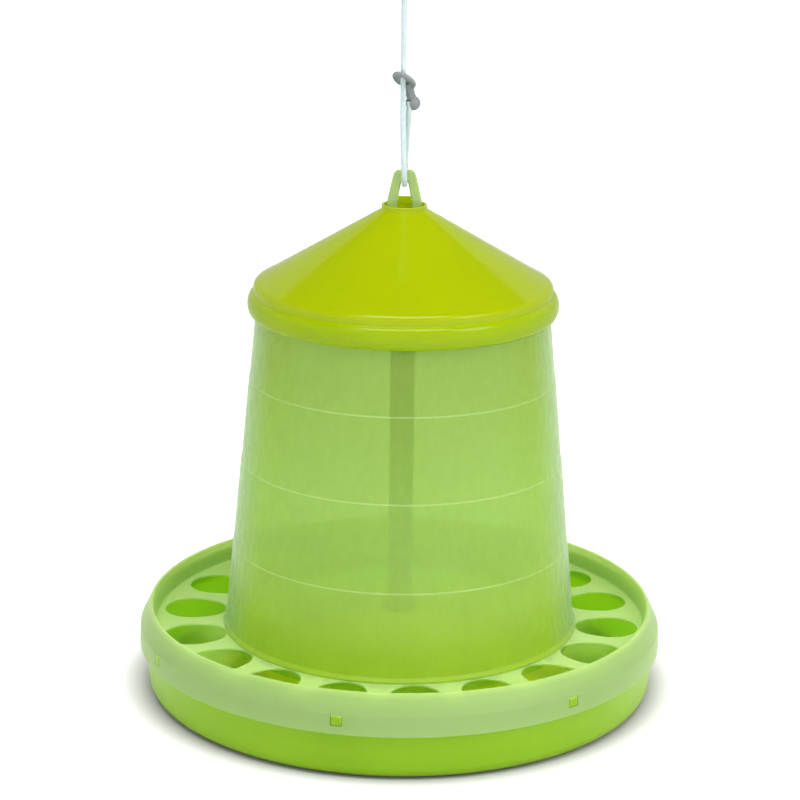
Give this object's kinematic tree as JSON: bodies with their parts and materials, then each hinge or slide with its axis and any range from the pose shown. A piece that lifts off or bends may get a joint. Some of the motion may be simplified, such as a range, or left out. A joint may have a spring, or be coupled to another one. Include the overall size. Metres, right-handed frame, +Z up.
{
  "type": "gravity poultry feeder",
  "caption": "Hanging gravity feeder for poultry: round trough with central cone, feeding grille with head holes, tapered hopper, conical lid, hanger rod, rope and runner.",
  "frame": {"origin": "on the axis, in the plane of the tray's flat underside", "axes": "+Z up along the rod and rope, -Y towards the front that the picture shows, +X to the right seen from the front"},
  "size_m": [0.38, 0.38, 0.5613],
  "materials": {
    "tray_plastic": "smooth lime green polypropylene, satin gloss",
    "grille_plastic": "milky pale green translucent polypropylene",
    "hopper_plastic": "milky pale green translucent polypropylene, see-through",
    "lid_plastic": "glossy yellow-green polypropylene, slightly translucent",
    "rod_plastic": "milky pale green polypropylene",
    "rope_fibre": "white braided polypropylene cord, matt",
    "runner_plastic": "grey nylon, fine matt"
  },
  "bodies": {
    "base": {"feed_tray": "tray_plastic", "feed_grille": "grille_plastic"},
    "hopper": {"hopper": "hopper_plastic"},
    "lid": {"lid": "lid_plastic"},
    "hanger": {"hanger_rod": "rod_plastic", "hanger_handle": "rod_plastic", "rope": "rope_fibre", "rope_tail": "rope_fibre", "rope_loop": "rope_fibre", "rope_top_knot": "rope_fibre"},
    "runner": {"rope_runner": "runner_plastic", "rope_end_knot": "rope_fibre"}
  },
  "joints": [
    {"name": "hopper_lift", "type": "slide", "parent": "base", "child": "hopper", "axis": [0, 0, 1], "range_m": [0, 0.03]},
    {"name": "lid_lift", "type": "slide", "parent": "hopper", "child": "lid", "axis": [0, 0, 1], "range_m": [0, 0.1]},
    {"name": "hanger_turn", "type": "hinge", "parent": "base", "child": "hanger", "pos_m": [0, 0, 0.055], "axis": [0, 0, 1], "range_deg": [0, 90]},
    {"name": "runner_slide", "type": "slide", "parent": "hanger", "child": "runner", "axis": [0, 0, 1], "range_m": [0, 0.03], "deforming": ["rope_tail"]}
  ]
}
